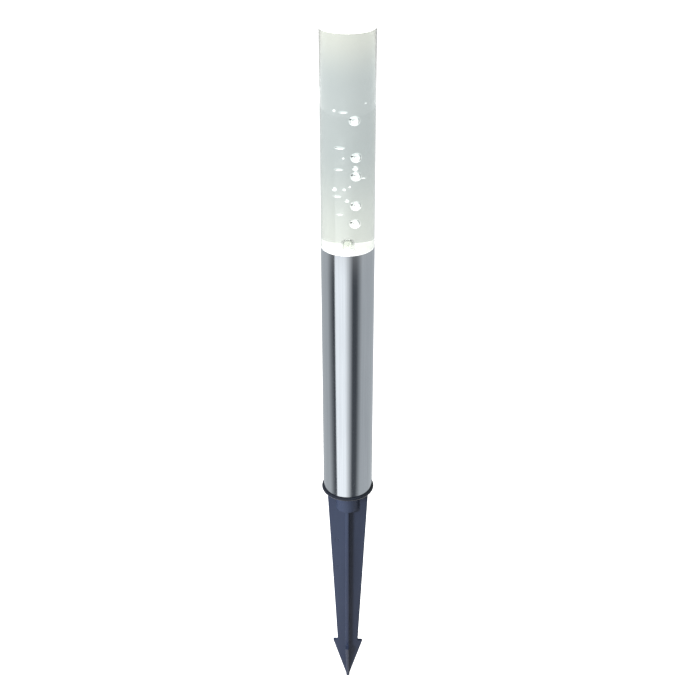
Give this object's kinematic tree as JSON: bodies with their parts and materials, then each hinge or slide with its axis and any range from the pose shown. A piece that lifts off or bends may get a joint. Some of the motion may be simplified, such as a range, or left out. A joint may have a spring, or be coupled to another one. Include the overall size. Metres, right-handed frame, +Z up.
{
  "type": "solar garden light",
  "caption": "Round garden light on a ground spike: a clear rod with air bubbles on a polished steel tube, with the solar cell and lamp under the rod and the battery in the tube.",
  "frame": {"origin": "on the light's axis at the ground line, the underside of the end plug's flange", "axes": "+Z up along the tube and rod; the spike's fins lie along X and Y; the switch is on the +X side of the axis"},
  "size_m": [0.0408, 0.0408, 0.5653],
  "materials": {
    "spike_plastic": "fine moulded texture, slate black",
    "black_rubber": "soft moulded rubber",
    "stainless_steel": "polished along the tube",
    "plug_plastic": "glossy moulded black",
    "clear_acrylic": "cast clear acrylic with air bubbles",
    "opal_plastic": "opal, lit from behind",
    "white_plastic": "moulded white",
    "led_epoxy": "clear epoxy, lit",
    "board_laminate": "green solder mask",
    "silicon": "dark blue silicon wafer under clear film",
    "tinned_copper": "tinned",
    "carrier_plastic": "moulded black",
    "screw_steel": "zinc plated",
    "chip_epoxy": "black moulding compound",
    "inductor_body": "green dipped coating",
    "capacitor_sleeve": "dark blue shrink sleeve",
    "diode_body": "black epoxy",
    "resistor_body": "tan lacquer",
    "switch_shell": "tinned pressed steel",
    "brass_contact": "bright spring brass",
    "wire_insulation": "flexible insulation, one lead of a pair in each colour",
    "spring_wire": "nickel plated spring wire",
    "cell_metal": "nickel plated can",
    "cell_wrap": "green shrink wrap"
  },
  "bodies": {
    "ground_spike": {"ground_spike": "spike_plastic", "spike_grip_ring": "black_rubber"},
    "stem": {"steel_tube": "stainless_steel", "end_plug": "plug_plastic", "plug_seal_ring": "black_rubber"},
    "light_head": {"acrylic_rod": "clear_acrylic", "light_diffuser": "opal_plastic", "lamp_holder": "white_plastic", "head_seal_ring": "black_rubber", "led_lamp": "led_epoxy", "led_spacer": "white_plastic", "solar_cell_board": "board_laminate", "solar_cells": "silicon", "solar_cell_ribbons": "tinned_copper", "battery_carrier": "carrier_plastic", "carrier_screws": "screw_steel", "control_board": "board_laminate", "board_screws": "screw_steel", "control_chip": "chip_epoxy", "inductor": "inductor_body", "capacitor": "capacitor_sleeve", "diode": "diode_body", "resistors": "resistor_body", "slide_switch": "switch_shell", "positive_contact": "brass_contact", "negative_contact": "brass_contact", "solar_leads": "wire_insulation", "led_leads": "wire_insulation", "battery_leads": "wire_insulation"},
    "battery_tray": {"battery_cap": "carrier_plastic", "cap_washer": "tinned_copper", "battery_spring": "spring_wire", "battery_cell": "cell_metal", "cell_sleeve": "cell_wrap"},
    "switch_knob": {"switch_knob": "chip_epoxy"}
  },
  "joints": [
    {"name": "stem_pulls_off_spike", "type": "slide", "parent": "ground_spike", "child": "stem", "axis": [0, 0, 1], "range_m": [0, 0.024]},
    {"name": "head_pulls_out_of_tube", "type": "slide", "parent": "stem", "child": "light_head", "axis": [0, 0, 1], "range_m": [0, 0.155]},
    {"name": "battery_slides_out", "type": "slide", "parent": "light_head", "child": "battery_tray", "axis": [0, 0, -1], "range_m": [0, 0.065]},
    {"name": "switch_slides", "type": "slide", "parent": "light_head", "child": "switch_knob", "axis": [0, -1, 0], "range_m": [0, 0.002]}
  ]
}
